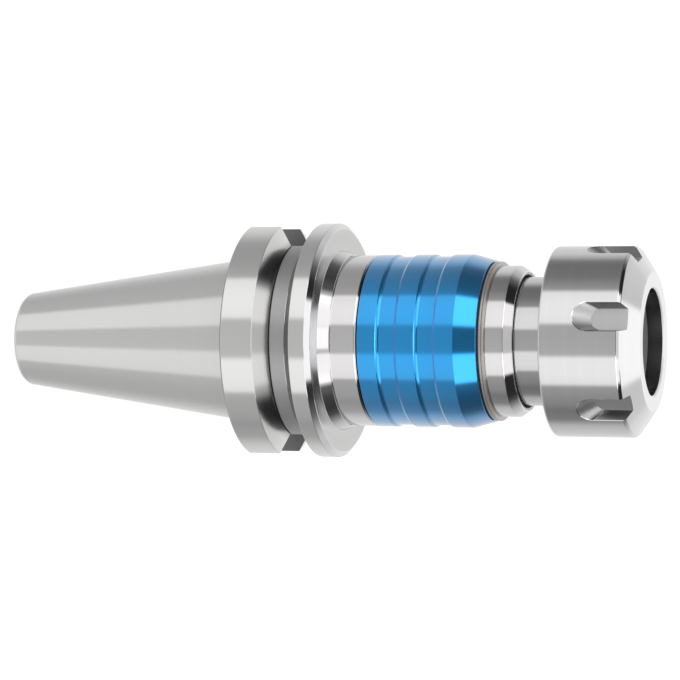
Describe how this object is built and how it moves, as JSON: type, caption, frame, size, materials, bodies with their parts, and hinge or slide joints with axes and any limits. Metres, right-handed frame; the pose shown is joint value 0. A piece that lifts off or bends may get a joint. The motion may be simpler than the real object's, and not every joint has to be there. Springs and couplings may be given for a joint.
{
  "type": "tapping chuck holder",
  "caption": "Steep-taper tool holder whose collet spindle floats along its axis on two springs, with a grooved flange, a banded sleeve and a slotted round clamp nut.",
  "frame": {"origin": "centre of the gauge plane, the circle where the taper has its gauge diameter of 44.45 mm", "axes": "+Z along the axis from the taper towards the clamp nut, the two drive slots at +X and -X; it stands on the taper's small end at z = -0.0654"},
  "size_m": [0.063, 0.063, 0.1763],
  "materials": {
    "ground_steel": "ground and turned, bright",
    "spindle_steel": "ground, bright",
    "nut_steel": "ground and turned, bright",
    "blue_anodised": "turned and anodised blue",
    "black_rubber": "moulded, matt",
    "spring_steel": "rolled strip or drawn wire",
    "hard_steel": "polished",
    "bronze": "turned",
    "black_steel": "blackened",
    "guide_plastic": "filled plastic strip"
  },
  "bodies": {
    "housing": {"shank": "ground_steel", "sleeve": "blue_anodised", "sleeve_o_rings": "black_rubber", "sleeve_washer": "black_rubber", "retaining_ring": "spring_steel", "drive_balls": "hard_steel", "front_bush": "bronze", "wiper_seal": "black_rubber", "tie_rod": "black_steel", "head_washer": "spring_steel", "rear_spring_seat": "spring_steel", "compression_spring": "spring_steel", "tension_spring": "spring_steel"},
    "floating_spindle": {"spindle": "spindle_steel", "front_spring_seat": "spring_steel", "guide_band": "guide_plastic", "stop_screw": "black_steel"},
    "extractor": {"extractor_ring": "spring_steel"},
    "nut": {"clamp_nut": "nut_steel"}
  },
  "joints": [
    {"name": "float", "type": "slide", "parent": "housing", "child": "floating_spindle", "axis": [0, 0, 1], "range_m": [-0.0075, 0.0075], "stiffness_N_per_m": 40000, "deforming": ["compression_spring", "tension_spring"]},
    {"name": "nut_travel", "type": "slide", "parent": "floating_spindle", "child": "extractor", "axis": [0, 0, 1], "range_m": [0, 0.0105]},
    {"name": "nut_turn", "type": "hinge", "parent": "extractor", "child": "nut", "pos_m": [0, 0, 0.09836], "axis": [0, 0, 1], "range_deg": [0, 2520]}
  ],
  "couplings": [
    {"joint": "nut_travel", "follows": "nut_turn", "m_per_rad": 0.00023873}
  ]
}
